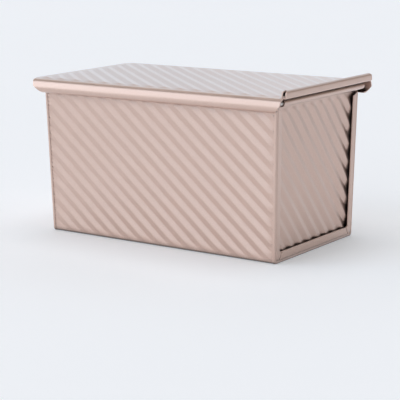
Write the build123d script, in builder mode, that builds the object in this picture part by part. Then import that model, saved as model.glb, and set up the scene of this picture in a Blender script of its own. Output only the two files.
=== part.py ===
from build123d import *
import os
from math import asin, atan2, ceil, cos, hypot, radians, sin

# Pullman loaf pan: a corrugated sheet-steel pan with a sliding lid.
# X runs along the pan and the lid slides off towards +X, Y runs to the back wall, +Z is up.
# The origin is the middle of the underside.

os.makedirs("parts", exist_ok=True)

# Sheet and overall sizes of the pan, outside to outside
sheet = 0.8
rim_length = 196.0
foot_length = 190.0
rim_width = 107.0
foot_width = 102.6
height = 110.0
base_bend = 2.0

# Wired rim: the sheet is rolled outward round a steel wire
wire_diameter = 3.2
wire_gap = 0.1
wire_bend = 2.6
long_roll_stop = 0.5
end_roll_past = 0.3
roll_tuck_angle = 130.0

# Seam that joins each end panel to the wrap
strip_width = 6.0
strip_foot = 7.25
strip_bend = 2.0
strip_drop = 6.8
strip_slant = 2.5
seam_gap = 0.1
bead_proud = 0.45
bead_width = 2.0
bead_round = 1.0
strip_round = 0.6
lap_line_width = 0.35
lap_line_depth = 0.3
lap_line_length = 5.5
flange_width = 1.5
panel_recess = 2.2
shoulder_drop = 7.0
shoulder_angle = 60.0
shoulder_bend = 1.0

# Diagonal corrugation
rib_pitch = 8.4
flat_rib_pitch = 8.6
rib_height = 1.1
low_rib_height = 0.7
rib_bend = 1.5
low_rib_lift = 0.05
wall_rib_angle = 40.25
lid_rib_angle = 41.5
end_rib_angle = 49.0
rib_lap = 0.4
wall_rib_phase = 0.4
end_rib_phase = -2.6
lid_rib_phase = -1.75
base_rib_phase = 0.8
wall_rib_margin = 2.4
wall_rib_top = 6.2
wall_rib_foot = 2.6
base_rib_margin = 6.0
panel_rib_margin = 0.8
panel_rib_top = 8.2
lid_rib_side = 2.6
lid_rib_end = 4.5
lid_rib_lip = 3.5
window_round = 2.0

# Sliding lid with a curl along each long side and a rolled lip at one end
lid_past = 3.6
lid_gap = 0.3
curl_side_gap = 3.3
curl_under_gap = 2.7
curl_bend = 4.0
curl_lean = 68.0
curl_flat = 2.4
curl_sweep = 205.0
lip_corner = 2.4
lip_trim_top = 2.2
lip_trim_mid = 2.6
lip_trim_low = 6.5
tail_trim_top = 3.4
tail_trim_mid = 4.8
tail_trim_low = 12.0
tail_corner = 5.0
lip_depth = 3.6
lip_top = 5.1
lip_drop = 0.5
lip_bend = 1.3
lip_return = 1.0
lip_round = 3.0

# One overrun for all cuts
overrun = 1.0

# Places worked out from the sizes
wall_slope = (rim_width - foot_width) / 2 / height
end_slope = (rim_length - foot_length) / 2 / height
wall_tilt = atan2(rim_width - foot_width, 2 * height)
end_tilt = atan2(rim_length - foot_length, 2 * height)
roll_radius = wire_diameter / 2 + wire_gap + sheet
roll_height = height - roll_radius
strip_top = height - strip_drop
inner_bend = base_bend - sheet
lid_under = height + lid_gap
lid_top = lid_under + sheet
lid_middle = lid_under + sheet / 2


def half_width(z):
    """Distance from the middle to the outer face of a long wall at height z."""
    return foot_width / 2 + wall_slope * z


def half_length(z):
    """Distance from the middle to the outer face of an end at height z."""
    return foot_length / 2 + end_slope * z


roll_y = half_width(roll_height) - sheet + roll_radius
roll_x = rim_length / 2 + seam_gap + roll_radius
lid_length = rim_length + 2 * (seam_gap + 2 * roll_radius + lid_past)

# The curl turns down, runs straight and turns in under the roll
curl_depth = lid_gap + 2 * sheet + 2 * roll_radius + curl_under_gap
curl_down = curl_bend * (1 - cos(radians(curl_lean))) + curl_flat * sin(radians(curl_lean))
curl_turn = (curl_depth - curl_down) / (1 + cos(radians(curl_lean)))
curl_out = curl_turn + (curl_bend - curl_turn) * sin(radians(curl_lean)) + curl_flat * cos(radians(curl_lean))
curl_y = roll_y + roll_radius + curl_side_gap + sheet - curl_out
curl_z = lid_top - curl_depth / 2
curl_low = lid_top - curl_depth

# Faces of the pan, each with its x axis to the right as seen from outside
front_face = Plane(
    origin=(0, -half_width(0), 0), x_dir=(1, 0, 0), z_dir=(0, -cos(wall_tilt), -sin(wall_tilt))
)
right_face = Plane(
    origin=(half_length(0), 0, 0), x_dir=(0, 1, 0), z_dir=(cos(end_tilt), 0, -sin(end_tilt))
)
base_face = Plane(origin=(0, 0, 0), x_dir=(1, 0, 0), z_dir=(0, 0, -1))
lid_face = Plane(origin=(0, 0, lid_top), x_dir=(1, 0, 0), z_dir=(0, 0, 1))
half_turn = Location((0, 0, 0), (0, 0, 180))
back_face = Plane(half_turn * front_face.location)
left_face = Plane(half_turn * right_face.location)


def tray(inset, lift, top, bend):
    """Cross-section of the pan: its outer outline moved in by inset, from lift up to top."""
    low = half_width(lift) - inset
    high = half_width(top) - inset
    with BuildSketch(mode=Mode.PRIVATE) as face:
        with BuildLine():
            Polyline((-low, lift), (low, lift), (high, top), (-high, top), close=True)
        make_face()
        fillet(face.vertices().group_by(Axis.Y)[0], bend)
    return face.sketch


def window(low, high, foot, top, inset=0):
    """Four-sided outline with rounded corners, as wide as low at foot and as high at top."""
    foot, top = foot + inset, top - inset
    low, high = low - inset, high - inset
    with BuildSketch(mode=Mode.PRIVATE) as face:
        with BuildLine():
            Polyline((-low, foot), (low, foot), (high, top), (-high, top), close=True)
        make_face()
        fillet(face.vertices(), window_round)
    return face.sketch


def wave(reach, rise, pitch):
    """Section of the corrugated sheet about the local x axis: straight flanks and rounded crests."""
    half = pitch / 2
    swing = rise / 2
    lean = asin(rib_bend / hypot(half / 2, rib_bend - swing)) - atan2(rib_bend - swing, half / 2)
    count = 2 * ceil(reach / pitch)

    def on_crest(i, side, turn):
        up = -1 if i % 2 else 1
        bend = rib_bend + up * side * sheet / 2
        return (
            (i + 1 / 2) * half + bend * sin(turn * lean),
            up * (swing - rib_bend + bend * cos(turn * lean)),
        )

    with BuildSketch(mode=Mode.PRIVATE) as face:
        with BuildLine():
            for side in (-1, 1):
                for i in range(-count, count):
                    ThreePointArc(*(on_crest(i, side, turn) for turn in (-1, 0, 1)))
                for i in range(-count, count - 1):
                    Line(on_crest(i, side, 1), on_crest(i + 1, side, -1))
            Line(on_crest(-count, -1, -1), on_crest(-count, 1, -1))
            Line(on_crest(count - 1, -1, 1), on_crest(count - 1, 1, 1))
        make_face()
    return face.sketch


def across_ribs(face, centre, depth, angle, phase):
    """Plane across the ribs of a face, with its y axis out of the face."""
    across = face.x_dir * sin(radians(angle)) + face.y_dir * cos(radians(angle))
    along = face.x_dir * cos(radians(angle)) - face.y_dir * sin(radians(angle))
    origin = face.from_local_coords(Vector(centre[0], centre[1], depth)) + across * phase
    return Plane(origin=origin, x_dir=across, z_dir=along)


# Corrugated field of a long wall
wall_foot = wall_rib_foot
wall_top = height - wall_rib_top
wall_low = half_length(wall_foot) - bead_width - wall_rib_margin
wall_high = half_length(wall_top) - bead_width - wall_rib_margin
wall_reach = hypot(rim_length, height) / 2
wall_section = across_ribs(
    front_face, (0, height / 2), -sheet / 2, wall_rib_angle, wall_rib_phase
)
with BuildPart() as wall_ribs:
    with BuildSketch(wall_section):
        add(wave(wall_reach, rib_height, rib_pitch))
    extrude(amount=wall_reach, both=True)
    with BuildSketch(front_face.offset(-sheet / 2)):
        add(window(wall_low, wall_high, wall_foot, wall_top))
    extrude(amount=rib_height + sheet, both=True, mode=Mode.INTERSECT)

# Corrugated field of the base, raised into the pan
base_x = half_length(0) - panel_recess - sheet - base_rib_margin
base_y = half_width(0) - base_rib_margin
base_reach = hypot(foot_length, foot_width) / 2
base_depth = -low_rib_lift - (low_rib_height + sheet) / 2
base_section = across_ribs(base_face, (0, 0), base_depth, wall_rib_angle, base_rib_phase)
with BuildPart() as base_ribs:
    with BuildSketch(base_section):
        add(wave(base_reach, low_rib_height, rib_pitch))
    extrude(amount=base_reach, both=True)
    with BuildSketch():
        add(window(base_x, base_x, -base_y, base_y))
    extrude(amount=rib_height + sheet, mode=Mode.INTERSECT)

# Seam frame at the right-hand end: the wrap's edge, beaded and turned in over the panel's flange
flange_inset = sheet + seam_gap


def on_outside(point):
    """Whether a point of the seam frame lies on its outer edge."""
    return point.Z < strip_foot / 2 or abs(point.Y) > half_width(point.Z) - strip_width / 2


frame_outline = tray(-bead_proud, 0, strip_top, base_bend)
frame_opening = tray(strip_width, strip_foot, height, strip_bend)
with BuildPart() as seam_frame:
    with BuildSketch(right_face):
        add(frame_outline)
        add(frame_opening, mode=Mode.SUBTRACT)
    extrude(amount=-sheet)
    with BuildSketch(right_face):
        add(frame_outline)
        add(tray(sheet, sheet, height, inner_bend), mode=Mode.SUBTRACT)
    extrude(amount=-bead_width)
    # The bead is rounded on its outer edge and the strips on their inner edge
    for outside, rounding in ((True, bead_round), (False, strip_round)):
        strip_face = seam_frame.faces().sort_by(Axis(right_face.location))[-1]
        strip_edges = strip_face.edges().filter_by(lambda e: e.center().Z < strip_top - sheet)
        fillet(strip_edges.filter_by(lambda e: on_outside(e.center()) == outside), rounding)
    # The upper ends of the strips are cut on a slant
    with BuildSketch(right_face):
        for side in (-1, 1):
            outer_y = side * (half_width(strip_top) + bead_proud)
            inner_y = side * (half_width(strip_top) - strip_width)
            with BuildLine():
                Polyline(
                    (outer_y, strip_top),
                    (inner_y, strip_top - strip_slant),
                    (inner_y - side * overrun, strip_top - strip_slant),
                    (inner_y - side * overrun, height),
                    (outer_y, height),
                    close=True,
                )
            make_face()
    extrude(amount=-bead_width, mode=Mode.SUBTRACT)
    # Short line where each upright strip laps the bottom strip
    with BuildSketch(right_face):
        for side in (-1, 1):
            lap_y = side * (half_width(strip_foot) - strip_width - lap_line_width)
            with Locations((lap_y, strip_foot - strip_round - lap_line_length / 2)):
                Rectangle(lap_line_width, lap_line_length)
    extrude(amount=-lap_line_depth, mode=Mode.SUBTRACT)

# Wrap: front wall, base and back wall in one sheet, its long edges rolled round the wire
tuck = roll_radius * sin(radians(roll_tuck_angle - 90))
with BuildPart() as pan_wrap:
    with BuildSketch(Plane.YZ):
        for side in (-1, 1):
            with Locations((side * roll_y, roll_height)):
                Circle(roll_radius)
                Circle(roll_radius - sheet, mode=Mode.SUBTRACT)
            with Locations((side * (roll_y - (tuck + roll_radius) / 2), roll_height - roll_radius / 2)):
                Rectangle(roll_radius - tuck, roll_radius, mode=Mode.SUBTRACT)
        add(tray(0, 0, roll_height, base_bend))
        add(tray(sheet, sheet, roll_height, inner_bend), mode=Mode.SUBTRACT)
    extrude(amount=rim_length, both=True)
    for face in (right_face, left_face):
        split(bisect_by=face, keep=Keep.BOTTOM)
    # The rolls stop short of the corners, where the wire bends
    with BuildSketch(Plane.XY.offset(roll_height - roll_radius)):
        Rectangle(2 * rim_length, 2 * rim_width)
        Rectangle(rim_length - 2 * long_roll_stop, 2 * rim_width, mode=Mode.SUBTRACT)
    extrude(amount=2 * roll_radius, mode=Mode.SUBTRACT)
    # Corrugated fields take the place of the flat sheet
    for face in (front_face, back_face):
        with BuildSketch(face.offset(-sheet / 2)):
            add(window(wall_low, wall_high, wall_foot, wall_top, rib_lap))
        extrude(amount=sheet, both=True, mode=Mode.SUBTRACT)
    with BuildSketch():
        add(window(base_x, base_x, -base_y, base_y, rib_lap))
    extrude(amount=sheet, mode=Mode.SUBTRACT)
    add(base_ribs.part)
    for turn in (0, 180):
        add(wall_ribs.part.rotate(Axis.Z, turn))
        add(seam_frame.part.rotate(Axis.Z, turn))
pan_wrap.part.label = "pan_wrap"
export_step(pan_wrap.part, "parts/pan_wrap.step")

# End panel: a corrugated plate set back behind its seam, with a flange caught in the seam
# and a shoulder that carries its top edge out over the seam to the wired roll
leg_inset = flange_inset + sheet
flange_reach = flange_inset + flange_width
flange_top = strip_top - strip_slant - seam_gap
panel_top = height - shoulder_drop
panel_x = half_length(panel_top) - panel_recess - sheet / 2
panel_foot = leg_inset + panel_rib_margin
panel_rib_head = height - panel_rib_top
panel_low = half_width(panel_foot) - leg_inset - panel_rib_margin
panel_high = half_width(panel_rib_head) - leg_inset - panel_rib_margin
panel_reach = hypot(rim_width, height) / 2
panel_section = across_ribs(
    right_face, (0, height / 2), -panel_recess - sheet / 2, end_rib_angle, end_rib_phase
)
roll_inner_x = roll_x - roll_radius + sheet / 2
bend_out = shoulder_bend * (1 - cos(radians(shoulder_angle)))
shoulder_run = (roll_inner_x - panel_x - 2 * bend_out) / sin(radians(shoulder_angle))
with BuildPart() as panel_ribs:
    with BuildSketch(panel_section):
        add(wave(panel_reach, rib_height, flat_rib_pitch))
    extrude(amount=panel_reach, both=True)
    with BuildSketch(right_face.offset(-panel_recess - sheet / 2)):
        add(window(panel_low, panel_high, panel_foot, panel_rib_head))
    extrude(amount=rib_height + sheet, both=True, mode=Mode.INTERSECT)
with BuildPart() as right_end_panel:
    with BuildSketch(right_face.offset(-panel_recess)):
        add(tray(flange_inset, flange_inset, panel_top, inner_bend))
        add(window(panel_low, panel_high, panel_foot, panel_rib_head, rib_lap), mode=Mode.SUBTRACT)
    extrude(amount=-sheet)
    with BuildSketch(right_face.offset(-flange_inset)):
        add(tray(flange_inset, flange_inset, flange_top, inner_bend))
        add(tray(leg_inset, leg_inset, height, inner_bend), mode=Mode.SUBTRACT)
    extrude(amount=flange_inset - panel_recess - sheet)
    with BuildSketch(right_face.offset(-flange_inset)):
        add(tray(flange_inset, flange_inset, flange_top, inner_bend))
        add(tray(flange_reach, flange_reach, height, strip_bend), mode=Mode.SUBTRACT)
    extrude(amount=-sheet)
    # Shoulder, then the longer roll on top of it, both drawn as the sheet's middle line
    with BuildSketch(Plane.XZ):
        with BuildLine():
            plate = Line((panel_x, panel_top - sheet), (panel_x, panel_top))
            bend = JernArc(plate @ 1, plate % 1, shoulder_bend, -shoulder_angle)
            slope = PolarLine(bend @ 1, shoulder_run, direction=bend % 1)
            unbend = JernArc(slope @ 1, slope % 1, shoulder_bend, shoulder_angle)
            Line(unbend @ 1, (roll_inner_x, roll_height))
        trace(line_width=sheet)
    extrude(amount=half_width(strip_top) - flange_inset, both=True)
    with BuildSketch(Plane.XZ):
        with BuildLine():
            CenterArc(
                (roll_x, roll_height), roll_radius - sheet / 2, 180, -180 - roll_tuck_angle
            )
        trace(line_width=sheet)
    extrude(amount=roll_y - wire_bend + end_roll_past, both=True)
    add(panel_ribs.part)
right_end_panel.part.label = "right_end_panel"
export_step(right_end_panel.part, "parts/right_end_panel.step")

with BuildPart() as left_end_panel:
    add(right_end_panel.part.rotate(Axis.Z, 180))
left_end_panel.part.label = "left_end_panel"
export_step(left_end_panel.part, "parts/left_end_panel.step")

# Rim wire: one closed ring inside the rolls, bare at the four corners
with BuildPart() as rim_wire:
    with BuildSketch(Plane.XY.offset(roll_height), mode=Mode.PRIVATE) as loop:
        RectangleRounded(2 * roll_x, 2 * roll_y, wire_bend)
    wire_path = loop.sketch.face().outer_wire()
    with BuildSketch(Plane(origin=wire_path @ 0, z_dir=wire_path % 0)):
        Circle(wire_diameter / 2)
    sweep(path=wire_path)
rim_wire.part.label = "rim_wire"
export_step(rim_wire.part, "parts/rim_wire.step")

# Corrugated field of the lid, raised above the flat sheet
lid_rib_y = curl_y - lid_rib_side
lid_rib_left = -lid_length / 2 + lid_rib_end
lid_web_x = lid_length / 2 - lip_depth + sheet / 2
lid_rib_right = lid_web_x - lip_bend - lid_rib_lip
lid_rib_half = (lid_rib_right - lid_rib_left) / 2
lid_rib_middle = (lid_rib_right + lid_rib_left) / 2
lid_reach = hypot(lid_length, 2 * curl_y) / 2
lid_depth = low_rib_lift + (low_rib_height - sheet) / 2
lid_section = across_ribs(lid_face, (0, 0), lid_depth, lid_rib_angle, lid_rib_phase)
with BuildPart() as lid_ribs:
    with BuildSketch(lid_section):
        add(wave(lid_reach, low_rib_height, flat_rib_pitch))
    extrude(amount=lid_reach, both=True)
    with BuildSketch(Plane.XY.offset(lid_under)):
        with Locations((lid_rib_middle, 0)):
            add(window(lid_rib_half, lid_rib_half, -lid_rib_y, lid_rib_y))
    extrude(amount=rib_height + sheet, mode=Mode.INTERSECT)

# Rolled lip: up from the lid's end, over, down and tucked back inside
fold_radius = (lip_depth - sheet) / 2
tuck_radius = fold_radius / 2
lip_fold_z = lid_top + lip_top - sheet / 2 - fold_radius
lip_low_z = lid_top - lip_drop + sheet / 2 + tuck_radius
with BuildPart() as lip:
    with BuildSketch(Plane.XZ):
        with BuildLine():
            flat = Line((lid_web_x - 2 * lip_bend, lid_middle), (lid_web_x - lip_bend, lid_middle))
            turn_up = JernArc(flat @ 1, flat % 1, lip_bend, 90)
            Line(turn_up @ 1, (lid_web_x, lip_fold_z))
            CenterArc((lid_web_x + fold_radius, lip_fold_z), fold_radius, 180, -180)
            Line(
                (lid_web_x + 2 * fold_radius, lip_fold_z),
                (lid_web_x + 2 * fold_radius, lip_low_z),
            )
            CenterArc((lid_web_x + 3 * tuck_radius, lip_low_z), tuck_radius, 0, -180)
            Line(
                (lid_web_x + 2 * tuck_radius, lip_low_z),
                (lid_web_x + 2 * tuck_radius, lip_low_z + lip_return),
            )
        trace(line_width=sheet)
    extrude(amount=curl_y, both=True)
    with BuildSketch(Plane.YZ) as lip_outline:
        with BuildLine():
            Polyline(
                (-curl_y, lid_under - overrun),
                (curl_y, lid_under - overrun),
                (curl_y, lid_top + lip_top),
                (-curl_y, lid_top + lip_top),
                close=True,
            )
        make_face()
        fillet(lip_outline.vertices().group_by(Axis.Y)[-1], lip_round)
    extrude(amount=lid_length, mode=Mode.INTERSECT)

# Lid: one sheet with its long sides curled down and in under the pan's rolls
trims = (
    (1, lip_corner, lip_trim_top, lip_trim_mid, lip_trim_low),
    (-1, tail_corner, tail_trim_top, tail_trim_mid, tail_trim_low),
)
with BuildPart() as lid:
    with BuildSketch(Plane.YZ):
        with BuildLine():
            Line((-curl_y, lid_middle), (curl_y, lid_middle))
            for side in (-1, 1):
                start = (side * curl_y, lid_middle)
                down = JernArc(start, (side, 0), curl_bend - sheet / 2, -side * curl_lean)
                run = PolarLine(down @ 1, curl_flat, direction=down % 1)
                JernArc(run @ 1, run % 1, curl_turn - sheet / 2, side * (curl_lean - curl_sweep))
        trace(line_width=sheet)
    extrude(amount=lid_length / 2, both=True)
    # The curls are trimmed on a slant at both ends, further back at the tail
    with BuildSketch(Plane.XZ):
        for end, corner, top, mid, low in trims:
            with BuildLine():
                Polyline(
                    (end * (lid_length / 2 + overrun), lid_under),
                    (end * (lid_length / 2 - top), lid_under),
                    (end * (lid_length / 2 - mid), curl_z),
                    (end * (lid_length / 2 - low), curl_low),
                    (end * (lid_length / 2 - low), curl_low - overrun),
                    (end * (lid_length / 2 + overrun), curl_low - overrun),
                    close=True,
                )
            make_face()
    extrude(amount=rim_width, both=True, mode=Mode.SUBTRACT)
    # The flat corners are cut back to meet the trimmed curls
    with BuildSketch(Plane.XY.offset(lid_under)):
        for end, corner, top, mid, low in trims:
            for side in (-1, 1):
                with BuildLine():
                    Polyline(
                        (end * (lid_length / 2 + overrun), side * (curl_y - corner)),
                        (end * lid_length / 2, side * (curl_y - corner)),
                        (end * (lid_length / 2 - top), side * curl_y),
                        (end * (lid_length / 2 - top), side * rim_width),
                        (end * (lid_length / 2 + overrun), side * rim_width),
                        close=True,
                    )
                make_face()
    extrude(amount=sheet, mode=Mode.SUBTRACT)
    # The lip takes the place of the sheet's flat end
    with BuildSketch(Plane.XY.offset(lid_under)):
        with Locations((lid_web_x - lip_bend, 0)):
            Rectangle(lip_depth + 2 * lip_bend, 2 * curl_y, align=(Align.MIN, Align.CENTER))
    extrude(amount=sheet, mode=Mode.SUBTRACT)
    add(lip.part)
    # The corrugated field takes the place of the flat sheet
    with BuildSketch(Plane.XY.offset(lid_under)):
        with Locations((lid_rib_middle, 0)):
            add(window(lid_rib_half, lid_rib_half, -lid_rib_y, lid_rib_y, rib_lap))
    extrude(amount=sheet, mode=Mode.SUBTRACT)
    add(lid_ribs.part)
lid.part.label = "lid"
export_step(lid.part, "parts/lid.step")
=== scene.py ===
from math import asin, atan2, cos, degrees, hypot, pi, radians, sin

import bmesh
import bpy
import numpy as np
from mathutils import Matrix, Vector


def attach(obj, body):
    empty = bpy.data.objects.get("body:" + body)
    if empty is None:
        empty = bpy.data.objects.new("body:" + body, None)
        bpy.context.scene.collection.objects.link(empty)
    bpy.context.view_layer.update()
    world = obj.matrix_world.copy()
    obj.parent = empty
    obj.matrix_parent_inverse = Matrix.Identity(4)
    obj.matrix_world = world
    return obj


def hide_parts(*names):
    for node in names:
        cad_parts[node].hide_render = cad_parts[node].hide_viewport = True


# Loaf pan with a sliding ribbed lid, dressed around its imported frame.
# Lengths are millimetres until they become vertices; materials, the camera's clips and the floor use metres.
# Angles are degrees, apart from the tilts and LEAN, which are radians.
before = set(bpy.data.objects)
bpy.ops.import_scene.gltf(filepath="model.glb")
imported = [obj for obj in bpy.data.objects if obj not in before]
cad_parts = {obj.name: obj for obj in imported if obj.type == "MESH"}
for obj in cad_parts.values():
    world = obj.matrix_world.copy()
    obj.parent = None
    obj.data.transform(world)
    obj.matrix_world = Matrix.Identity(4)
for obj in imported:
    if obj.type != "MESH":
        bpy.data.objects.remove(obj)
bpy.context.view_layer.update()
MM = 0.001

# Sizes repeated from the part's source
SHEET = 0.8
HEIGHT = 110.0
RIM_WIDTH, FOOT_WIDTH = 107.0, 102.6
RIM_LENGTH, FOOT_LENGTH = 196.0, 190.0
BASE_BEND = 2.0
WIRE_DIAMETER, WIRE_GAP, WIRE_BEND = 3.2, 0.1, 2.6
ROLL_STOP, ROLL_PAST, ROLL_TUCK = 0.5, 0.3, 130.0
STRIP_WIDTH, STRIP_FOOT, STRIP_BEND = 6.0, 7.25, 2.0
STRIP_DROP, STRIP_SLANT = 6.8, 2.5
SEAM_GAP, BEAD_PROUD, BEAD_WIDTH, BEAD_ROUND = 0.1, 0.45, 2.0, 1.0
LAP_WIDTH, LAP_DEPTH, LAP_Y = 0.35, 0.3, 45.8
FLANGE_WIDTH, PANEL_RECESS = 1.5, 2.2
SHOULDER_DROP, SHOULDER_ANGLE, SHOULDER_BEND = 7.0, 60.0, 1.0
RIB_PITCH, FLAT_PITCH = 8.4, 8.6
RIB_HEIGHT, LOW_RIB_HEIGHT, RIB_BEND = 1.1, 0.7, 1.5
LOW_RIB_LIFT = 0.05
WALL_ANGLE, LID_ANGLE, END_ANGLE = 40.25, 41.5, 49.0
LID_PAST, LID_GAP = 3.6, 0.3
CURL_SIDE_GAP, CURL_UNDER_GAP = 3.3, 2.7
CURL_BEND, CURL_LEAN, CURL_FLAT, CURL_SWEEP = 4.0, 68.0, 2.4, 205.0
LIP_TRIM = (2.4, 2.2, 2.6, 6.5)  # corner, then the trim at the curl's top, middle and foot
TAIL_TRIM = (5.0, 3.4, 4.8, 12.0)
LIP_DEPTH, LIP_TOP, LIP_DROP = 3.6, 5.1, 0.5
LIP_BEND, LIP_RETURN, LIP_ROUND = 1.3, 1.0, 3.0

WALL_TILT = atan2(RIM_WIDTH - FOOT_WIDTH, 2 * HEIGHT)
END_TILT = atan2(RIM_LENGTH - FOOT_LENGTH, 2 * HEIGHT)
ROLL_RADIUS = WIRE_DIAMETER / 2 + WIRE_GAP + SHEET
ROLL_HEIGHT = HEIGHT - ROLL_RADIUS
STRIP_TOP = HEIGHT - STRIP_DROP
LID_TOP = HEIGHT + LID_GAP + SHEET
HALF = SHEET / 2


def half_width(z):
    """Half the pan's width over the outside of its walls, at height z."""
    return FOOT_WIDTH / 2 + (RIM_WIDTH - FOOT_WIDTH) / 2 * z / HEIGHT


def half_length(z):
    """Half the pan's length over the strips of its ends, at height z."""
    return FOOT_LENGTH / 2 + (RIM_LENGTH - FOOT_LENGTH) / 2 * z / HEIGHT


ROLL_Y = half_width(ROLL_HEIGHT) - SHEET + ROLL_RADIUS
ROLL_X = RIM_LENGTH / 2 + SEAM_GAP + ROLL_RADIUS
LID_LENGTH = RIM_LENGTH + 2 * (SEAM_GAP + 2 * ROLL_RADIUS + LID_PAST)
LEAN = radians(CURL_LEAN)
CURL_DEPTH = LID_GAP + 2 * SHEET + 2 * ROLL_RADIUS + CURL_UNDER_GAP
CURL_TURN = (CURL_DEPTH - CURL_BEND * (1 - cos(LEAN)) - CURL_FLAT * sin(LEAN)) / (1 + cos(LEAN))
CURL_OUT = CURL_TURN + (CURL_BEND - CURL_TURN) * sin(LEAN) + CURL_FLAT * cos(LEAN)
CURL_Y = ROLL_Y + ROLL_RADIUS + CURL_SIDE_GAP + SHEET - CURL_OUT
CURL_Z = LID_TOP - CURL_DEPTH / 2
WEB_X = LID_LENGTH / 2 - LIP_DEPTH + HALF

# Phases of the ribs, measured across them from the middle of each face
WALL_PHASE, LID_PHASE, END_PHASE = 0.4, -1.75, -2.6

# Where the ribs die out: how far from an edge they begin, and where they have their full height
SIDE_FADE = (1.6, 4.6)
WALL_FOOT_FADE, WALL_TOP_FADE = (1.5, 6.0), (5.2, 8.5)
BASE_SIDE_FADE, BASE_END_FADE = (5.5, 9.0), (8.0, 12.0)
PANEL_SIDE_FADE, PANEL_FOOT_FADE, PANEL_TOP_FADE = (0.2, 1.8), (0.2, 2.5), (7.4, 10.4)
TAIL_FADE, LIP_FADE = (3.5, 7.0), (2.5, 6.0)

# Groove that the wall has beside the bead
GROOVE_DEPTH, GROOVE_INSET, GROOVE_WIDTH, GROOVE_FADE = 0.55, 1.65, 0.5, (1.0, 3.0)

# Section of the seam frame, as insets from the pan's side and depths behind its end
BURIED, BEAD_FOOT, BEAD_CHAMFER = (0.55, 2.3), (0.05, 2.15), (0.12, 0.15)
LINE_OUTER, LINE_INNER, LINE_SLOPE, LINE_DEPTH = 0.85, 1.85, 0.25, 0.3
STRIP_EDGE, STRIP_CHAMFER = 0.42, 0.05

# Where neighbouring stretches of a sheet meet
WRAP_SHORT = 0.9  # from the pan's end to the wrap's edge inside the bead
TOUCH = 0.02  # between the end rows of two stretches
PANEL_TUCK = 0.05  # run of the plate into its leg
ROLL_LEAD = 0.3  # upright run below the end panel's roll
LIP_LAP = 0.6  # overlap of the lip and the lid

# How far the rib lines have to reach from the middle of each face
WRAP_REACH, SPARE = 100.0, 10.0
PANEL_REACH, PANEL_BELOW, PANEL_ABOVE = 60.0, 70.0, 90.0
LID_REACH, LID_SIDE_REACH = 115.0, 75.0

# Fineness of the meshes: edges beside a crest, the distance for welding, the angle of a sharp edge
CREST_SIDE, WELD, SHARP_ANGLE = 0.45, 0.004, 40
# Rows or points in each stretch
ROLL_STEPS, WALL_STEPS, BEND_STEPS, BASE_STEPS = 26, 74, 7, 68
PANEL_STEPS, SHOULDER_STEPS, SIDE_STEPS, FOOT_STEPS = 70, 6, 8, 14
BEAD_STEPS, EDGE_STEPS = 8, 5
CURL_BEND_STEPS, CURL_FLAT_STEPS, CURL_TURN_STEPS = 15, 5, 24
LID_STEPS, LID_EDGE_STEPS = 80, 5
LIP_BEND_STEPS, LIP_FOLD_STEPS, LIP_FALL_STEPS, LIP_TUCK_STEPS, LIP_WIDTH_STEPS = 7, 15, 4, 9, 40


def smooth(start, full, x):
    """Zero up to start, one from full on, and an even curve between them."""
    t = np.clip((np.asarray(x, float) - start) / (full - start), 0, 1)
    return t * t * (3 - 2 * t)


def wave(u, rise, pitch):
    """Height of the corrugation at u across the ribs: straight flanks and rounded crests."""
    quarter, swing = pitch / 4, rise / 2
    lean = asin(RIB_BEND / hypot(quarter, RIB_BEND - swing)) - atan2(RIB_BEND - swing, quarter)
    t = (np.asarray(u, float) / pitch) % 1
    hill = t < 0.5
    off = np.abs(np.where(hill, t - 0.25, t - 0.75)) * pitch
    flank = (quarter - off) * np.tan(lean)
    crest = swing - RIB_BEND + np.sqrt(np.maximum(RIB_BEND**2 - off**2, 0))
    height = np.where(off < RIB_BEND * sin(lean), crest, flank)
    return np.where(hill, height, -height)


def rib_lines(angle, pitch, along, below, above):
    """Places across the ribs where a mesh needs an edge: on each crest, beside it and on the flank."""
    across, upward = sin(radians(angle)), cos(radians(angle))
    marks = [pitch / 2, pitch]
    for crest in (pitch / 4, 3 * pitch / 4):
        marks += [crest - CREST_SIDE, crest, crest + CREST_SIDE]
    first = int(np.floor((-along * across - below * upward) / pitch)) - 1
    last = int(np.ceil((along * across + above * upward) / pitch)) + 1
    return np.concatenate([k * pitch + np.sort(marks) for k in range(first, last)])


def crossings(lines, angle, phase, up, low, high):
    """Where a row of a face meets the rib lines, kept from low to high, and its places across the ribs."""
    across, upward = sin(radians(angle)), cos(radians(angle))
    along = np.clip((lines + phase - up * upward) / across, low, high)
    return along, along * across + up * upward - phase


def arc(centre_u, centre_v, radius, start, sweep, count):
    """Points of an arc, each with its direction from the centre."""
    angles = np.radians(np.linspace(start, start + sweep, count))
    return [(centre_u + radius * cos(a), centre_v + radius * sin(a), cos(a), sin(a)) for a in angles]


def inward(points):
    """The same points with their directions turned to the centre."""
    return [(u, v, -nu, -nv) for u, v, nu, nv in points]


def sheet_shell(middle, normal):
    """Closed shell of a sheet, from a grid of middle points and their normals."""
    rows, columns = middle.shape[:2]
    top, under = middle + normal * HALF, middle - normal * HALF
    verts = np.concatenate([top.reshape(-1, 3), under.reshape(-1, 3)])
    high = np.arange(rows * columns).reshape(rows, columns)
    low = high + rows * columns
    quads = [np.stack([high[:-1, :-1], high[1:, :-1], high[1:, 1:], high[:-1, 1:]], -1).reshape(-1, 4)]
    quads.append(np.stack([low[:-1, :-1], low[:-1, 1:], low[1:, 1:], low[1:, :-1]], -1).reshape(-1, 4))
    edges = ((high[:, 0], low[:, 0]), (low[:, -1], high[:, -1]), (low[0], high[0]), (high[-1], low[-1]))
    for one, two in edges:
        quads.append(np.stack([one[:-1], two[:-1], two[1:], one[1:]], -1))
    return verts, np.concatenate(quads).tolist()


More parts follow.
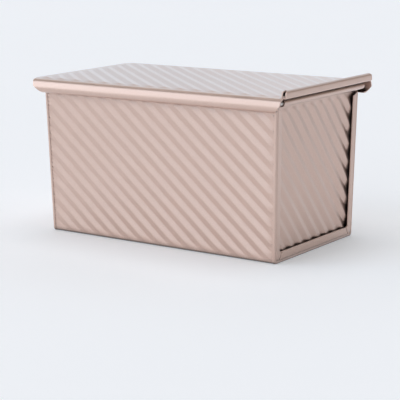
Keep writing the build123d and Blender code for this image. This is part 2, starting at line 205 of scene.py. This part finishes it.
def ring_shell(rings):
    """Closed shell from rings of points: each ring is joined to the next and the last to the first."""
    grid = np.array(rings)
    rows, columns = grid.shape[:2]
    here = np.arange(rows * columns).reshape(rows, columns)
    after = np.roll(here, -1, axis=0)
    quads = np.stack([here[:, :-1], here[:, 1:], after[:, 1:], after[:, :-1]], -1).reshape(-1, 4)
    return grid.reshape(-1, 3), quads.tolist() + [here[:, 0].tolist(), here[::-1, -1].tolist()]


def turned(shell):
    """The same shell turned half round about the vertical axis."""
    verts, faces = shell
    return np.asarray(verts) * (-1, -1, 1), faces


def placed(name, data):
    """A new object of the data, linked into the scene."""
    obj = bpy.data.objects.new(name, data)
    bpy.context.scene.collection.objects.link(obj)
    return obj


def piece(name, shells, material, body, slot, *nodes):
    """One object from closed shells, welded and smooth, in place of CAD nodes."""
    mesh = bpy.data.meshes.new(name)
    whole = bmesh.new()
    for verts, faces in shells:
        part = bmesh.new()
        points = [part.verts.new(v) for v in (np.asarray(verts) * MM).tolist()]
        for face in faces:
            part.faces.new([points[i] for i in face])
        bmesh.ops.remove_doubles(part, verts=part.verts, dist=WELD * MM)
        bmesh.ops.dissolve_degenerate(part, edges=part.edges, dist=WELD * MM)
        bmesh.ops.recalc_face_normals(part, faces=part.faces)
        shell = bpy.data.meshes.new("shell")
        part.to_mesh(shell)
        whole.from_mesh(shell)
        part.free()
        bpy.data.meshes.remove(shell)
    whole.to_mesh(mesh)
    whole.free()
    mesh.shade_smooth()
    mesh.set_sharp_from_angle(angle=radians(SHARP_ANGLE))
    mesh.materials.append(material)
    obj = placed(name, mesh)
    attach(obj, body)
    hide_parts(*nodes)


# Materials
SPECKLE_COLOURS = ((0.62, 0.44, 0.365), (0.75, 0.545, 0.465))
MOTTLE_COLOURS = ((0.66, 0.47, 0.39), (0.70, 0.51, 0.435))
# Dark brown of the painted shade, and how far its ambient occlusion reaches, in metres
PAINTED_SHADE_COLOUR, PAINTED_SHADE_REACH = (0.09, 0.055, 0.045), 0.008
WIRE_COLOURS = ((0.50, 0.48, 0.46), (0.70, 0.68, 0.66))
FLOOR_COLOURS = ((0.80, 0.81, 0.85), (0.82, 0.83, 0.87))
FLOOR_GLOW, FLOOR_GLOW_LEVEL = (0.95, 1.0, 1.0, 1.0), 0.19


def nodes_of(name):
    """A new material, with its node tree and its shader."""
    material = bpy.data.materials.new(name)
    material.use_nodes = True
    tree = material.node_tree
    return material, tree, tree.nodes["Principled BSDF"]


def object_place(tree):
    """The place in the object's own frame, so that a texture rides with it."""
    return tree.nodes.new("ShaderNodeTexCoord").outputs["Object"]


def noise(tree, coords, scale, detail=4.0, rough=0.55):
    """Noise whose coarsest grains are about one to a metre, times the scale."""
    node = tree.nodes.new("ShaderNodeTexNoise")
    node.inputs["Scale"].default_value = scale
    node.inputs["Detail"].default_value = detail
    node.inputs["Roughness"].default_value = rough
    tree.links.new(coords, node.inputs["Vector"])
    return node.outputs["Fac"]


def span(tree, value, low, high, from_low=0.3, from_high=0.7):
    """The value's stretch from from_low to from_high, spread from low to high."""
    node = tree.nodes.new("ShaderNodeMapRange")
    node.inputs["From Min"].default_value = from_low
    node.inputs["From Max"].default_value = from_high
    node.inputs["To Min"].default_value = low
    node.inputs["To Max"].default_value = high
    tree.links.new(value, node.inputs["Value"])
    return node.outputs["Result"]


def mixed(tree, factor, one, two):
    """Two colours, each a tuple or a socket, mixed by a number or a socket."""
    node = tree.nodes.new("ShaderNodeMix")
    node.data_type = "RGBA"
    for socket, item in ((node.inputs["Factor"], factor), (node.inputs["A"], one), (node.inputs["B"], two)):
        if isinstance(item, tuple):
            socket.default_value = item + (1.0,)
        elif isinstance(item, float):
            socket.default_value = item
        else:
            tree.links.new(item, socket)
    return node.outputs["Result"]


def maths(tree, operation, one, two=0.0):
    """One operation on one or two items, each a number or a socket."""
    node = tree.nodes.new("ShaderNodeMath")
    node.operation = operation
    for socket, item in ((node.inputs[0], one), (node.inputs[1], two)):
        if isinstance(item, float):
            socket.default_value = item
        else:
            tree.links.new(item, socket)
    return node.outputs[0]


def bumped(tree, shader, height, strength, distance):
    """Fine relief for a shader from a height, with the distance in metres."""
    node = tree.nodes.new("ShaderNodeBump")
    node.inputs["Strength"].default_value = strength
    node.inputs["Distance"].default_value = distance
    tree.links.new(height, node.inputs["Height"])
    tree.links.new(node.outputs["Normal"], shader.inputs["Normal"])


def coated_steel():
    """Champagne release coating: metallic speckle, faint mottling and orange peel, with painted shade that
    darkens its crevices by ambient occlusion.
    """
    material, tree, shader = nodes_of("champagne_coating")
    place = object_place(tree)
    speckle = noise(tree, place, scale=2600.0, detail=2.0, rough=0.5)
    mottle = noise(tree, place, scale=38.0, detail=5.0, rough=0.6)
    peel = noise(tree, place, scale=900.0, detail=3.0, rough=0.5)
    fine = mixed(tree, span(tree, speckle, 0.0, 1.0), *SPECKLE_COLOURS)
    broad = mixed(tree, span(tree, mottle, 0.0, 1.0), *MOTTLE_COLOURS)
    # Painted shade: ambient occlusion darkens the base colour towards dark brown in crevices, slots, under
    # the curls and along the foot
    shade_occlusion = tree.nodes.new("ShaderNodeAmbientOcclusion")
    shade_occlusion.samples = 8
    shade_occlusion.inputs["Distance"].default_value = PAINTED_SHADE_REACH
    openness = span(tree, shade_occlusion.outputs["AO"], 0.0, 1.0, from_low=0.15, from_high=0.72)
    colour = mixed(tree, openness, PAINTED_SHADE_COLOUR, mixed(tree, 0.5, fine, broad))
    tree.links.new(colour, shader.inputs["Base Color"])
    shader.inputs["Metallic"].default_value = 0.8
    shader.inputs["Coat Weight"].default_value = 1.0
    shader.inputs["Coat Roughness"].default_value = 0.3
    tree.links.new(span(tree, mottle, 0.33, 0.41), shader.inputs["Roughness"])
    bumped(tree, shader, peel, strength=0.25, distance=0.00004)
    return material


def drawn_wire():
    """Bright steel wire with a fine grain."""
    material, tree, shader = nodes_of("drawn_wire")
    grain = noise(tree, object_place(tree), scale=1500.0, detail=3.0, rough=0.6)
    tree.links.new(mixed(tree, span(tree, grain, 0.0, 1.0), *WIRE_COLOURS), shader.inputs["Base Color"])
    shader.inputs["Metallic"].default_value = 1.0
    tree.links.new(span(tree, grain, 0.22, 0.36), shader.inputs["Roughness"])
    bumped(tree, shader, grain, strength=0.2, distance=0.00003)
    return material


def floor_paint():
    """Pale matt paint, with a glow that only the camera, the metal and glass see."""
    material, tree, shader = nodes_of("floor_paint")
    cloud = noise(tree, object_place(tree), scale=3.0)
    tree.links.new(mixed(tree, cloud, *FLOOR_COLOURS), shader.inputs["Base Color"])
    shader.inputs["Roughness"].default_value = 0.9
    shader.inputs["Specular IOR Level"].default_value = 0.1
    shader.inputs["Emission Color"].default_value = FLOOR_GLOW
    rays = tree.nodes.new("ShaderNodeLightPath").outputs
    seen = rays["Is Camera Ray"]
    for ray in ("Is Glossy Ray", "Is Transmission Ray"):
        seen = maths(tree, "MAXIMUM", seen, rays[ray])
    tree.links.new(maths(tree, "MULTIPLY", seen, FLOOR_GLOW_LEVEL), shader.inputs["Emission Strength"])
    return material


# Wrap
UPRIGHT, LEVEL = 0.9, 0.99  # from these parts of a normal on, a row belongs to a wall or to the base


def wrap_rows():
    """Rows of the wrap from front roll to back roll, as y, z and normal, and how many lead to the base."""
    roll = arc(-ROLL_Y, ROLL_HEIGHT, ROLL_RADIUS - HALF, 180 + ROLL_TUCK, -180 - ROLL_TUCK, ROLL_STEPS)
    front = inward(roll)
    lean_y, lean_z = cos(WALL_TILT), sin(WALL_TILT)
    for z in np.linspace(ROLL_HEIGHT, BASE_BEND - BASE_BEND * lean_z, WALL_STEPS)[1:]:
        front.append((-half_width(z) + HALF * lean_y, z + HALF * lean_z, -lean_y, -lean_z))
    bend_y = -FOOT_WIDTH / 2 + BASE_BEND * (1 - lean_z) / lean_y
    tilt = degrees(WALL_TILT)
    front += arc(bend_y, BASE_BEND, BASE_BEND - HALF, 180 + tilt, 90 - tilt, BEND_STEPS)[1:]
    base = [(y, HALF, 0.0, -1.0) for y in np.linspace(bend_y, -bend_y, BASE_STEPS)[1:-1]]
    back = [(-y, z, -ny, nz) for y, z, ny, nz in front[::-1]]
    return np.array(front + base + back), len(front)


def wrap_shell():
    """Front wall, base and back wall in one sheet, with its rolled edges and corrugation."""
    rows, front = wrap_rows()
    steps = np.hypot(np.diff(rows[:, 0]), np.diff(rows[:, 1]))
    down = np.concatenate([[0], np.cumsum(steps)])
    down = down - down[front - 1]  # length down the sheet, zero where the base begins
    # Across the ribs: x along the pan, and up the front wall, which is back along the sheet
    lines = rib_lines(WALL_ANGLE, RIB_PITCH, WRAP_REACH, down[-1] + HEIGHT / 2 + SPARE, SPARE - down[0])
    wall = slice(ROLL_STEPS, front - BEND_STEPS + 1)
    middle = float(np.interp(-HEIGHT / 2, -rows[wall, 1], down[wall]))
    grid = np.zeros((len(rows), len(lines), 3))
    normal = np.zeros_like(grid)
    for i, (y, z, ny, nz) in enumerate(rows):
        on_roll = i < ROLL_STEPS or i >= len(rows) - ROLL_STEPS
        end = RIM_LENGTH / 2 - ROLL_STOP if on_roll else half_length(z) - WRAP_SHORT
        x, u = crossings(lines, WALL_ANGLE, WALL_PHASE, middle - down[i], -end, end)
        inset = end - np.abs(x)
        lift = np.zeros_like(x)
        if not on_roll and abs(ny) > UPRIGHT:
            fade = smooth(*SIDE_FADE, inset) * smooth(*WALL_FOOT_FADE, z) * smooth(*WALL_TOP_FADE, HEIGHT - z)
            groove = np.exp(-((inset - GROOVE_INSET) / GROOVE_WIDTH) ** 2) * smooth(*GROOVE_FADE, z)
            lift = fade * wave(u, RIB_HEIGHT, RIB_PITCH) - GROOVE_DEPTH * groove
        elif not on_roll and nz < -LEVEL:
            fade = smooth(*BASE_SIDE_FADE, half_width(0) - abs(y)) * smooth(*BASE_END_FADE, inset)
            lift = -fade * (LOW_RIB_LIFT + LOW_RIB_HEIGHT / 2 - wave(u, LOW_RIB_HEIGHT, RIB_PITCH))
        grid[i] = np.stack([x, y + ny * lift, z + nz * lift], -1)
        normal[i] = (0, ny, nz)
    return sheet_shell(grid, normal)


# Seam frame and end panel, drawn for the near end
def outline(inset, lift, radius, top, depth, notch=0.0):
    """U-shaped line in the end's plane, moved in by inset, from the front top round to the back top."""
    corner_y = half_width(lift) - inset - radius * (1 - sin(WALL_TILT)) / cos(WALL_TILT)
    corner = arc(corner_y, lift + radius, radius, -90, 90 - degrees(WALL_TILT), BEND_STEPS)
    half = [(y, z) for y, z, _, _ in corner]
    half += [(half_width(z) - inset, z) for z in np.linspace(half[-1][1], top, SIDE_STEPS)[1:]]
    # The short lines where the upright strips lap the bottom strip: each is cut by its two middle marks
    lap = min(LAP_Y, corner_y - 2 * LAP_WIDTH)
    laps = np.array([lap + step * LAP_WIDTH for step in (-1, -0.5, 0.5, 1)])
    foot = np.concatenate([-laps[::-1], np.linspace(-lap, lap, FOOT_STEPS)[1:-1], laps])
    line = [(-y, z) for y, z in half[::-1]] + [(y, lift) for y in foot] + half
    depths = np.full(len(line), float(depth))
    for at in (1, 2, len(foot) - 3, len(foot) - 2):
        depths[len(half) + at] += notch
    return np.array([(half_length(z) - d * cos(END_TILT), y, z + d * sin(END_TILT))
                     for d, (y, z) in zip(depths, line)])


def seam_frame_shell():
    """Beaded edge and inward strips round the end, as one section carried along the U."""
    section = [BURIED, BEAD_FOOT]
    section += [(-BEAD_PROUD + BEAD_CHAMFER[0], BEAD_WIDTH), (-BEAD_PROUD, BEAD_WIDTH - BEAD_CHAMFER[1])]
    for a in np.radians(np.linspace(0, 90, BEAD_STEPS)):
        section.append((-BEAD_PROUD + BEAD_ROUND * (1 - cos(a)), BEAD_ROUND * (1 - sin(a))))
    # Shallow line between the bead and the strip
    section += [(LINE_OUTER, 0.0), (LINE_OUTER + LINE_SLOPE, LINE_DEPTH)]
    section += [(LINE_INNER - LINE_SLOPE, LINE_DEPTH), (LINE_INNER, 0.0)]
    for a in np.radians(np.linspace(0, 90, EDGE_STEPS)):
        section.append((STRIP_WIDTH - STRIP_EDGE * (1 - sin(a)), STRIP_EDGE * (1 - cos(a))))
    section += [(STRIP_WIDTH, SHEET - STRIP_CHAMFER), (STRIP_WIDTH - STRIP_CHAMFER, SHEET)]
    section += [(SHEET, SHEET), (SHEET, BURIED[1])]
    rings = []
    for inset, depth in section:
        share = np.clip(inset / STRIP_WIDTH, 0, 1)
        radius = BASE_BEND if inset < STRIP_WIDTH / 2 else STRIP_BEND
        notch = LAP_DEPTH if inset >= LINE_INNER and depth < HALF else 0.0
        top = STRIP_TOP - share * STRIP_SLANT
        rings.append(outline(inset, share * STRIP_FOOT, radius, top, depth, notch))
    return ring_shell(rings)


def flange_shell():
    """Leg and flange of the end panel, caught behind the strips."""
    near, far = SHEET + SEAM_GAP, 2 * SHEET + SEAM_GAP
    reach, back = near + FLANGE_WIDTH, PANEL_RECESS + SHEET
    section = [(near, back), (near, near), (reach, near), (reach, far), (far, far), (far, back)]
    top = STRIP_TOP - STRIP_SLANT - SEAM_GAP
    return ring_shell([outline(inset, inset, BASE_BEND - SHEET, top, depth) for inset, depth in section])


def panel_rows():
    """Rows of the end panel from its foot to its roll, each as x, z, normal and zone."""
    panel_top = HEIGHT - SHOULDER_DROP
    foot = 2 * SHEET + SEAM_GAP + TOUCH
    lean_x, lean_z = cos(END_TILT), sin(END_TILT)
    plate = [(half_length(z) - (PANEL_RECESS + HALF) * lean_x, z, lean_x, -lean_z)
             for z in np.linspace(foot, panel_top, PANEL_STEPS)]
    start_x = half_length(panel_top) - PANEL_RECESS - HALF
    inner_x = ROLL_X - ROLL_RADIUS + HALF
    turn = radians(SHOULDER_ANGLE)
    run = (inner_x - start_x - 2 * SHOULDER_BEND * (1 - cos(turn))) / sin(turn)
    bend = arc(start_x + SHOULDER_BEND, panel_top, SHOULDER_BEND, 180, -SHOULDER_ANGLE, SHOULDER_STEPS)
    shoulder = inward(bend)[1:]
    out, rise = sin(turn), cos(turn)
    x, z = shoulder[-1][0] + run * out, shoulder[-1][1] + run * rise
    shoulder.append((x, z, rise, -out))
    bend_x, bend_z = x - SHOULDER_BEND * rise, z + SHOULDER_BEND * out
    shoulder += arc(bend_x, bend_z, SHOULDER_BEND, -SHOULDER_ANGLE, SHOULDER_ANGLE, SHOULDER_STEPS)[1:]
    shoulder.append((inner_x, ROLL_HEIGHT - ROLL_LEAD, 1, 0))
    roll = inward(arc(ROLL_X, ROLL_HEIGHT, ROLL_RADIUS - HALF, 180, -180 - ROLL_TUCK, ROLL_STEPS))
    zones = (("plate", plate), ("shoulder", shoulder), ("roll", roll))
    return [(*row, zone) for zone, rows in zones for row in rows]


def panel_shell():
    """Recessed corrugated plate, its shoulder and the roll at its top."""
    near, leg = SHEET + SEAM_GAP, 2 * SHEET + SEAM_GAP
    rows = panel_rows()
    lines = rib_lines(END_ANGLE, FLAT_PITCH, PANEL_REACH, PANEL_BELOW, PANEL_ABOVE)
    ends = {"shoulder": half_width(STRIP_TOP) - near, "roll": ROLL_Y - WIRE_BEND + ROLL_PAST}
    grid = np.zeros((len(rows), len(lines), 3))
    normal = np.zeros_like(grid)
    for i, (x, z, nx, nz, zone) in enumerate(rows):
        end = half_width(z) - leg + PANEL_TUCK if zone == "plate" else ends[zone]
        y, u = crossings(lines, END_ANGLE, END_PHASE, z - HEIGHT / 2, -end, end)
        fade = smooth(*PANEL_SIDE_FADE, end - np.abs(y)) * smooth(*PANEL_FOOT_FADE, z - leg)
        fade = fade * smooth(*PANEL_TOP_FADE, HEIGHT - z) * (zone == "plate")
        lift = fade * wave(u, RIB_HEIGHT, FLAT_PITCH)
        grid[i] = np.stack([x + nx * lift, y, z + nz * lift], -1)
        normal[i] = (nx, 0, nz)
    return sheet_shell(grid, normal)


# Lid
def trimmed(curled, y, z, corner, top, middle, foot):
    """How far an end of the lid is cut back at the point (y, z) of its section."""
    if not curled:
        return float(np.interp(abs(y), [CURL_Y - corner, CURL_Y], [0.0, top]))
    return float(np.interp(z, [LID_TOP - CURL_DEPTH, CURL_Z, LID_TOP - SHEET], [foot, middle, top]))


def curl_line():
    """Middle line of the back curl with its normals, from its tucked-in edge up to the lid."""
    bend, turn = CURL_BEND - HALF, CURL_TURN - HALF
    line = [(CURL_Y + bend * sin(a), LID_TOP - CURL_BEND + bend * cos(a), sin(a), cos(a))
            for a in np.linspace(0, LEAN, CURL_BEND_STEPS)]
    y, z, ny, nz = line[-1]
    for run in np.linspace(0, CURL_FLAT, CURL_FLAT_STEPS)[1:]:
        line.append((y + run * nz, z - run * ny, ny, nz))
    y, z = line[-1][0] - turn * ny, line[-1][1] - turn * nz
    line += [(y + turn * sin(a), z + turn * cos(a), sin(a), cos(a))
             for a in np.linspace(LEAN, radians(CURL_SWEEP), CURL_TURN_STEPS)[1:]]
    return line[::-1]


def lid_shell():
    """Ribbed sheet with a curl down each long side."""
    back = curl_line()
    front = [(-y, z, -ny, nz) for y, z, ny, nz in back]
    edge, corner = CURL_Y - TOUCH, CURL_Y - TAIL_TRIM[0]
    places = np.concatenate([np.linspace(-edge, -corner, LID_EDGE_STEPS)[:-1],
                             np.linspace(-corner, corner, LID_STEPS),
                             np.linspace(corner, edge, LID_EDGE_STEPS)[1:]])
    flat = [(y, LID_TOP - HALF, 0.0, 1.0) for y in places]
    rows = front + flat + back[::-1]
    lines = rib_lines(LID_ANGLE, FLAT_PITCH, LID_REACH, LID_SIDE_REACH, LID_SIDE_REACH)
    grid = np.zeros((len(rows), len(lines), 3))
    normal = np.zeros_like(grid)
    for i, (y, z, ny, nz) in enumerate(rows):
        curled = not len(front) <= i < len(front) + len(flat)
        left = -LID_LENGTH / 2 + trimmed(curled, y, z + nz * HALF, *TAIL_TRIM)
        right = LID_LENGTH / 2 - trimmed(curled, y, z + nz * HALF, *LIP_TRIM)
        if not curled:
            right = min(right, WEB_X - LIP_BEND)
        x, u = crossings(lines, LID_ANGLE, LID_PHASE, y, left, right)
        lift = np.zeros_like(x)
        if not curled:
            fade = smooth(*SIDE_FADE, CURL_Y - abs(y))
            fade = fade * smooth(*TAIL_FADE, x - left) * smooth(*LIP_FADE, right - x)
            lift = fade * (LOW_RIB_LIFT + LOW_RIB_HEIGHT / 2 + wave(u, LOW_RIB_HEIGHT, FLAT_PITCH))
        grid[i] = np.stack([x, y + ny * lift, z + nz * lift], -1)
        normal[i] = (0, ny, nz)
    return sheet_shell(grid, normal)


def lip_shell():
    """Rolled lip: up from the lid's end, over, down and tucked back inside."""
    middle = LID_TOP - HALF
    fold = (LIP_DEPTH - SHEET) / 2
    tuck = fold / 2
    fold_z = LID_TOP + LIP_TOP - HALF - fold
    low_z = LID_TOP - LIP_DROP + HALF + tuck
    line = [(WEB_X - LIP_BEND - LIP_LAP, middle, 0.0, 1.0)]
    line += inward(arc(WEB_X - LIP_BEND, middle + LIP_BEND, LIP_BEND, -90, 90, LIP_BEND_STEPS))
    line += arc(WEB_X + fold, fold_z, fold, 180, -180, LIP_FOLD_STEPS)
    line += [(WEB_X + 2 * fold, z, 1.0, 0.0) for z in np.linspace(fold_z, low_z, LIP_FALL_STEPS)[1:-1]]
    line += arc(WEB_X + 3 * tuck, low_z, tuck, 0, -180, LIP_TUCK_STEPS)
    line.append((WEB_X + 2 * tuck, low_z + LIP_RETURN, -1.0, 0.0))
    share = np.linspace(-1, 1, LIP_WIDTH_STEPS)
    grid = np.zeros((len(line), len(share), 3))
    normal = np.zeros_like(grid)
    for i, (x, z, nx, nz) in enumerate(line):
        up = np.clip(z + max(nz, 0) * HALF - (LID_TOP + LIP_TOP - LIP_ROUND), 0, LIP_ROUND)
        end = CURL_Y - (LIP_ROUND - np.sqrt(LIP_ROUND**2 - up**2))
        grid[i] = [(x, y, z) for y in share * end]
        normal[i] = (nx, 0, nz)
    return sheet_shell(grid, normal)


# Pieces
coating = coated_steel()
seam = seam_frame_shell()
piece("pan_wrap_sheet", [wrap_shell(), seam, turned(seam)], coating, "pan", "coated_steel", "pan_wrap")
end_panel = [panel_shell(), flange_shell()]
piece("right_end_sheet", end_panel, coating, "pan", "coated_steel", "right_end_panel")
piece("left_end_sheet", [turned(s) for s in end_panel], coating, "pan", "coated_steel", "left_end_panel")
piece("lid_sheet", [lid_shell(), lip_shell()], coating, "lid", "coated_steel", "lid")

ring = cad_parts["rim_wire"]
ring.data.materials.clear()
ring.data.materials.append(drawn_wire())

# Camera at the photograph's angle
AZIMUTH, ELEVATION, ROLL = 35.006, 11.738, -0.458
POSITION = (587.88, -840.22, 236.83)
FOCAL_PIXELS, FRAME_PIXELS, SENSOR = 1457.86, 400, 36.0
CLIP_START, CLIP_END = 0.05, 60


def camera_matrix():
    """The camera's place and its turn, with its roll about the way it looks."""
    az, el, roll = radians(AZIMUTH), radians(ELEVATION), radians(ROLL)
    forward = Vector((-sin(az) * cos(el), cos(az) * cos(el), -sin(el)))
    level = forward.cross(Vector((0, 0, 1))).normalized()
    upright = level.cross(forward)
    right = cos(roll) * level + sin(roll) * upright
    up = cos(roll) * upright - sin(roll) * level
    turn = Matrix((right, up, -forward)).transposed().to_4x4()
    return Matrix.Translation(Vector(POSITION) * MM) @ turn


camera = bpy.data.cameras.new("camera")
camera.sensor_width = SENSOR
camera.lens = SENSOR * FOCAL_PIXELS / FRAME_PIXELS
camera.clip_start, camera.clip_end = CLIP_START, CLIP_END
holder = placed("camera", camera)
holder.matrix_world = camera_matrix()
bpy.context.scene.camera = holder

# Floor
REACH = 14.0
floor_mesh = bpy.data.meshes.new("floor")
corners = [(-REACH, -REACH, 0), (REACH, -REACH, 0), (REACH, REACH, 0), (-REACH, REACH, 0)]
floor_mesh.from_pydata(corners, [], [(0, 1, 2, 3)])
floor_mesh.materials.append(floor_paint())
floor = placed("floor", floor_mesh)

# World: a pale studio of soft panels, each between two azimuths and two elevations in degrees.
# Azimuth 0 is in front of the pan, negative to its left. A panel that ends past 180 goes on from -180,
# so the one overhead counts twice between there and -160.
COOL, PLAIN, WARM = (0.88, 1.0, 1.12), (1.0, 1.0, 1.0), (1.25, 1.0, 0.8)
PANELS = (  # first and last azimuth, lowest and highest elevation, level, tint
    (-22, 22, -20, 22, 1.45, COOL),
    (-46, -22, -20, 22, 0.7, PLAIN),
    (-70, -46, -20, 22, 2.7, COOL),
    (-95, -70, -20, 22, 2.2, WARM),
    (-120, -95, -20, 22, 0.7, PLAIN),
    (-143, -120, -20, 11, 1.15, COOL),
    (-165, -143, -20, 11, 0.95, COOL),
    (-143, -120, 11, 22, 0.6, COOL),
    (-165, -143, 11, 22, 1.0, COOL),
    (165, 195, 11, 22, 0.25, COOL),
    (135, 165, -20, 22, 0.3, WARM),
    (22, 65, -20, 22, 0.15, PLAIN),
    (-22, 22, 22, 48, 0.65, WARM),
    (-70, -22, 22, 48, 1.75, COOL),
    (-120, -70, 22, 48, 0.75, PLAIN),
    (-165, -120, 22, 48, 0.8, PLAIN),
    (150, 195, 22, 48, 0.8, COOL),
    (105, 150, 22, 48, 1.0, PLAIN),
    (-200, 200, 66, 95, 2.4, PLAIN),
)
SOFT_EDGE = 4.0
HALF_TURN = 180
BACKDROP = (0.83, 0.85, 0.90)


def window(tree, value, low, high):
    """One between low and high, with soft edges."""
    sides = []
    for edge in (low, high):
        ramp = tree.nodes.new("ShaderNodeMapRange")
        ramp.interpolation_type = "SMOOTHSTEP"
        ramp.inputs["From Min"].default_value = edge - SOFT_EDGE
        ramp.inputs["From Max"].default_value = edge + SOFT_EDGE
        tree.links.new(value, ramp.inputs["Value"])
        sides.append(ramp.outputs["Result"])
    return maths(tree, "SUBTRACT", *sides)


def scaled(tree, colour, amount):
    """A colour times a socket."""
    node = tree.nodes.new("ShaderNodeVectorMath")
    node.operation = "SCALE"
    node.inputs[0].default_value = colour
    tree.links.new(amount, node.inputs["Scale"])
    return node.outputs["Vector"]


def total(tree, one, two):
    """Sum of two colours."""
    node = tree.nodes.new("ShaderNodeVectorMath")
    tree.links.new(one, node.inputs[0])
    tree.links.new(two, node.inputs[1])
    return node.outputs["Vector"]


def studio_light(tree):
    """Sum of the panels in each direction."""
    way = tree.nodes.new("ShaderNodeSeparateXYZ")
    tree.links.new(tree.nodes.new("ShaderNodeTexCoord").outputs["Generated"], way.inputs["Vector"])
    ahead = maths(tree, "MULTIPLY", way.outputs["Y"], -1.0)
    around = maths(tree, "ARCTAN2", way.outputs["X"], ahead)
    azimuth = maths(tree, "MULTIPLY", around, HALF_TURN / pi)
    elevation = maths(tree, "MULTIPLY", maths(tree, "ARCSINE", way.outputs["Z"]), HALF_TURN / pi)
    light = None
    for start, end, low, high, level, tint in PANELS:
        across = window(tree, azimuth, start, end)
        if end > HALF_TURN:
            behind = window(tree, azimuth, start - 2 * HALF_TURN, end - 2 * HALF_TURN)
            across = maths(tree, "ADD", across, behind)
        amount = maths(tree, "MULTIPLY", across, window(tree, elevation, low, high))
        panel = scaled(tree, [level * share for share in tint], amount)
        light = panel if light is None else total(tree, light, panel)
    return light


world = bpy.data.worlds.new("studio")
world.use_nodes = True
bpy.context.scene.world = world
sky = world.node_tree
# The camera sees the backdrop's colour in place of the panels
camera_ray = sky.nodes.new("ShaderNodeLightPath").outputs["Is Camera Ray"]
sky.links.new(mixed(sky, camera_ray, studio_light(sky), BACKDROP), sky.nodes["Background"].inputs["Color"])

bpy.context.scene.view_settings.view_transform = "Standard"
